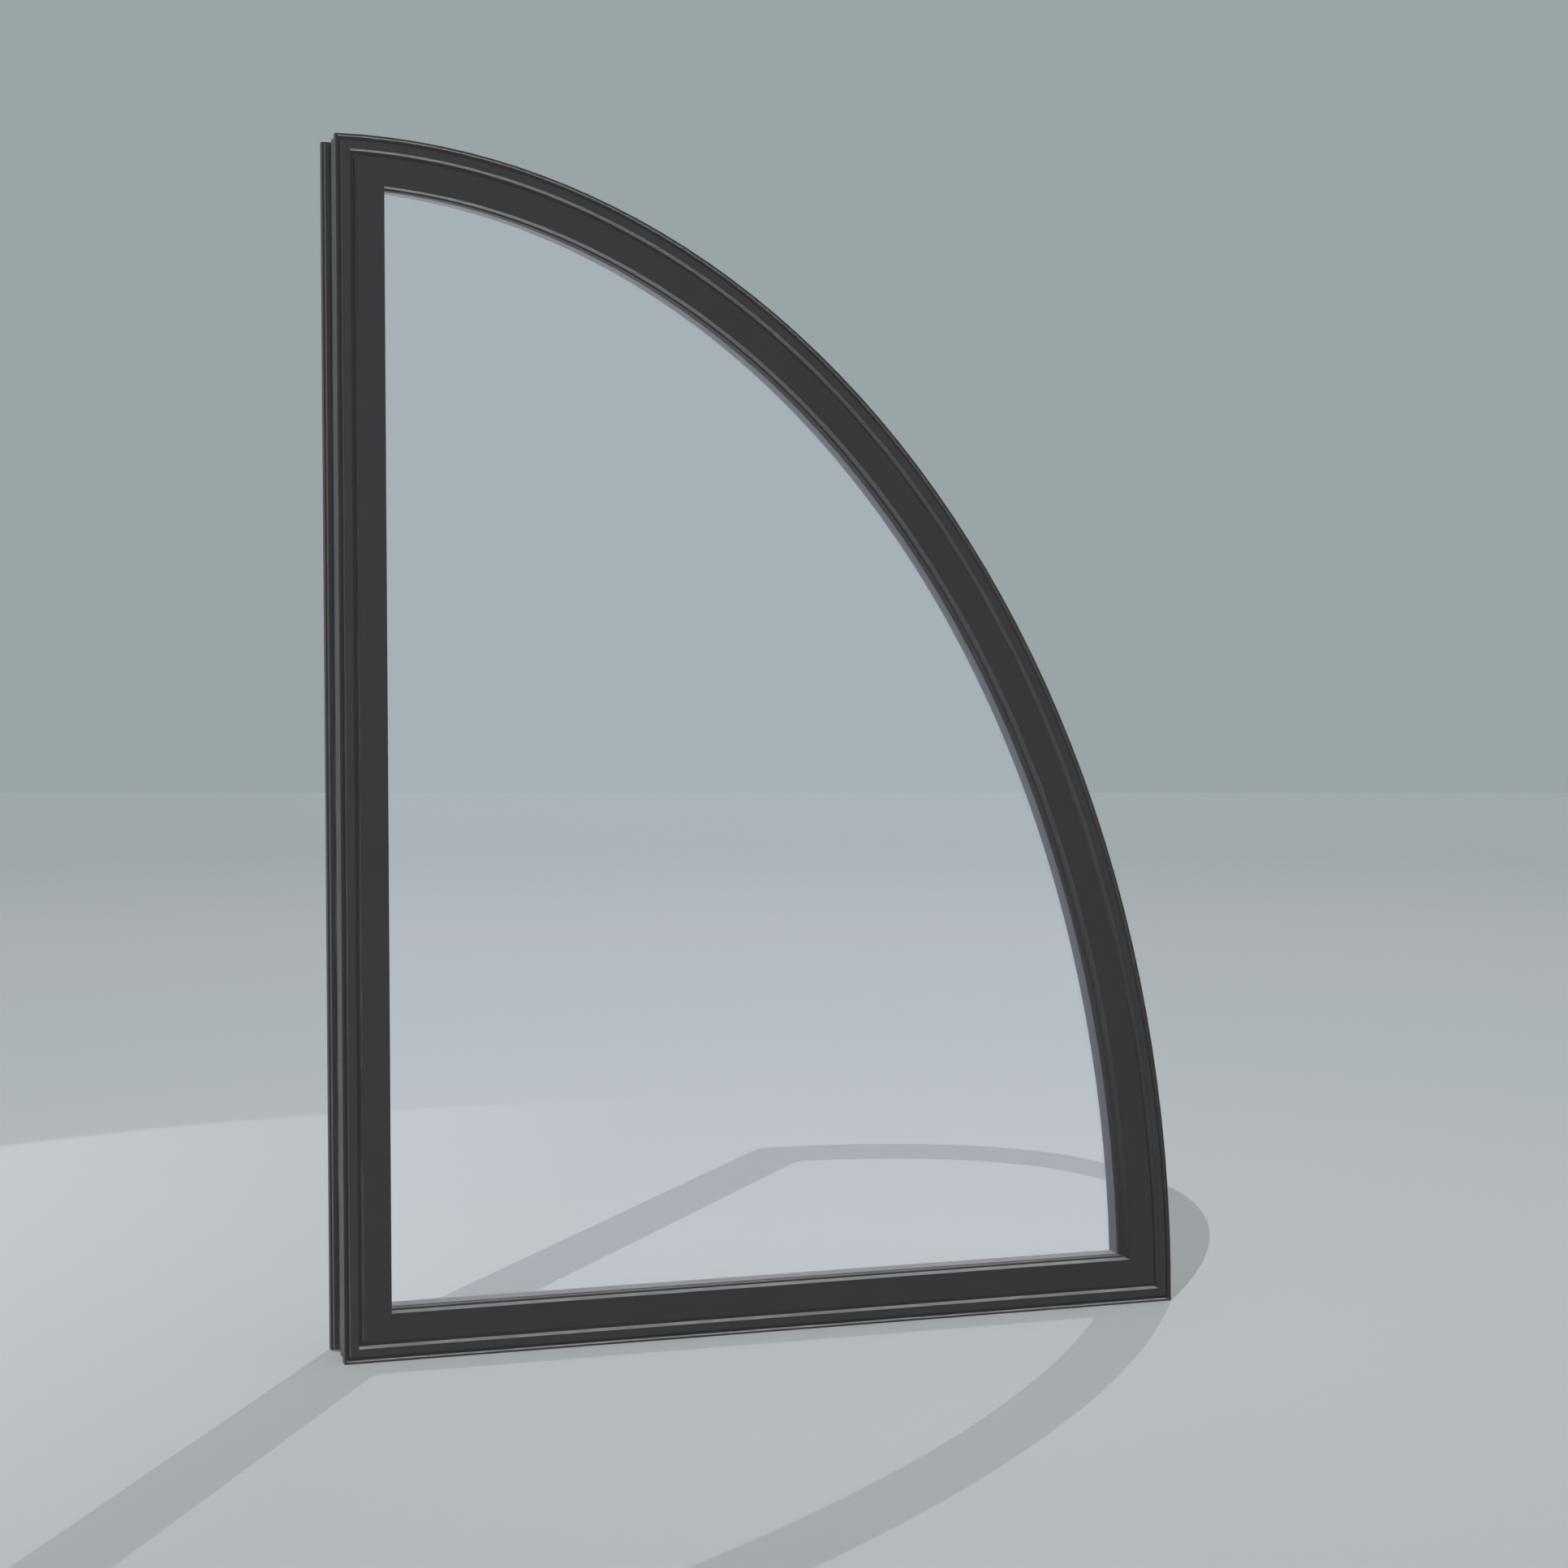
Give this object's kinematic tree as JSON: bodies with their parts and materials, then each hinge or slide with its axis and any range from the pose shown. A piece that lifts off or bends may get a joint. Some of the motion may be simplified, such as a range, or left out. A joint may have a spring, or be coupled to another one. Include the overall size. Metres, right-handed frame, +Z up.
{
  "type": "partial ellipse window",
  "caption": "Quarter-ellipse window: straight jamb, level sill and elliptical head in a dark grey aluminium frame with a flush sash and a sealed double-glazed unit.",
  "frame": {"origin": "on the underside of the sill's rear flange, halfway along the sill and halfway across the flange", "axes": "+Z up; +Y from outdoors to indoors, so the outside face looks along -Y; +X along the sill from the straight jamb towards the foot of the elliptical head"},
  "size_m": [1.1226, 0.0945, 1.5],
  "materials": {
    "coated_frame": "satin anthracite powder coat",
    "coated_sash": "satin anthracite powder coat",
    "coated_bead": "satin anthracite powder coat",
    "polyamide": "matt, glass-fibre filled",
    "gasket_rubber": "matt black",
    "spacer": "matt dark grey",
    "glass": "clear float glass with a faint blue coating"
  },
  "bodies": {
    "root": {"jamb_frame_exterior": "coated_frame", "jamb_frame_thermal_break": "polyamide", "jamb_frame_interior": "coated_frame", "jamb_sash_exterior": "coated_sash", "jamb_sash_thermal_break": "polyamide", "jamb_sash_interior": "coated_sash", "jamb_glazing_bead": "coated_bead", "jamb_outer_gasket": "gasket_rubber", "jamb_inner_gasket": "gasket_rubber", "jamb_spacer_bar": "spacer", "jamb_outer_seal": "gasket_rubber", "jamb_inner_seal": "gasket_rubber", "sill_frame_exterior": "coated_frame", "sill_frame_thermal_break": "polyamide", "sill_frame_interior": "coated_frame", "sill_sash_exterior": "coated_sash", "sill_sash_thermal_break": "polyamide", "sill_sash_interior": "coated_sash", "sill_glazing_bead": "coated_bead", "sill_outer_gasket": "gasket_rubber", "sill_inner_gasket": "gasket_rubber", "sill_spacer_bar": "spacer", "sill_outer_seal": "gasket_rubber", "sill_inner_seal": "gasket_rubber", "head_frame_exterior": "coated_frame", "head_frame_thermal_break": "polyamide", "head_frame_interior": "coated_frame", "head_sash_exterior": "coated_sash", "head_sash_thermal_break": "polyamide", "head_sash_interior": "coated_sash", "head_glazing_bead": "coated_bead", "head_outer_gasket": "gasket_rubber", "head_inner_gasket": "gasket_rubber", "head_spacer_bar": "spacer", "head_outer_seal": "gasket_rubber", "head_inner_seal": "gasket_rubber", "outer_pane": "glass", "inner_pane": "glass"}
  },
  "joints": []
}
